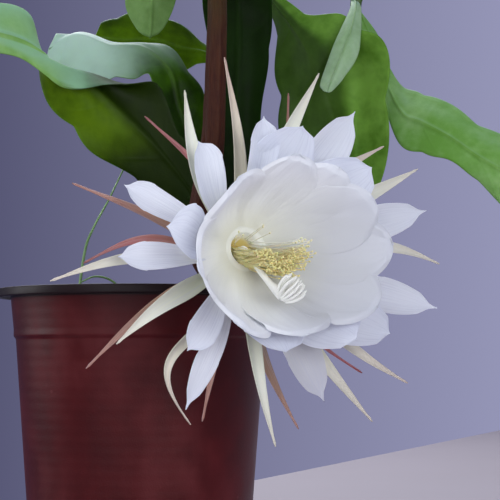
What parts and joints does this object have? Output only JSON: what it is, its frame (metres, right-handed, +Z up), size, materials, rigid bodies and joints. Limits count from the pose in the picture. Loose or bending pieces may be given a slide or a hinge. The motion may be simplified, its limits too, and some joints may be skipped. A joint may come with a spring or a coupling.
{
  "type": "potted epiphyllum",
  "caption": "Night-blooming leaf cactus in a round nursery pot: arching flat notched leaves on round stems and a large white flower hanging from a long tube.",
  "frame": {"origin": "middle of the pot's underside, on the surface it stands on", "axes": "+Z up, the flower's side of the pot towards -Y, the far-reaching leaf towards +X"},
  "size_m": [0.4187, 0.3311, 0.4972],
  "materials": {
    "pot_plastic": "semi-gloss moulded plastic, dusty",
    "potting_soil": "crumbly bark and peat, rough",
    "stem_green": "smooth waxy skin",
    "leaf_green": "waxy satin leaf skin",
    "leaf_pale": "pale waxy young leaf skin",
    "tube_brown": "satin red-brown skin",
    "tepal_rose": "satin brown-pink tepal",
    "tepal_cream": "satin cream tepal",
    "petal_white": "thin translucent white petal",
    "stamen_yellow": "pollen-dusted yellow",
    "style_ivory": "matt ivory"
  },
  "bodies": {
    "root": {"pot": "pot_plastic", "soil": "potting_soil", "cane": "stem_green", "leaf_centre": "leaf_green", "leaf_left_front": "leaf_green", "leaf_left_rear": "leaf_green", "leaf_right": "leaf_green", "leaf_far_right": "leaf_green", "leaf_back_left": "leaf_green", "leaf_young": "leaf_pale", "leaf_tip_left": "leaf_pale", "shoot_tall": "stem_green", "shoot_low": "stem_green", "flower_tube": "tube_brown", "flower_rose_tepals": "tepal_rose", "flower_cream_tepals": "tepal_cream", "flower_petals": "petal_white", "flower_stamens": "stamen_yellow", "flower_style": "style_ivory"}
  },
  "joints": []
}
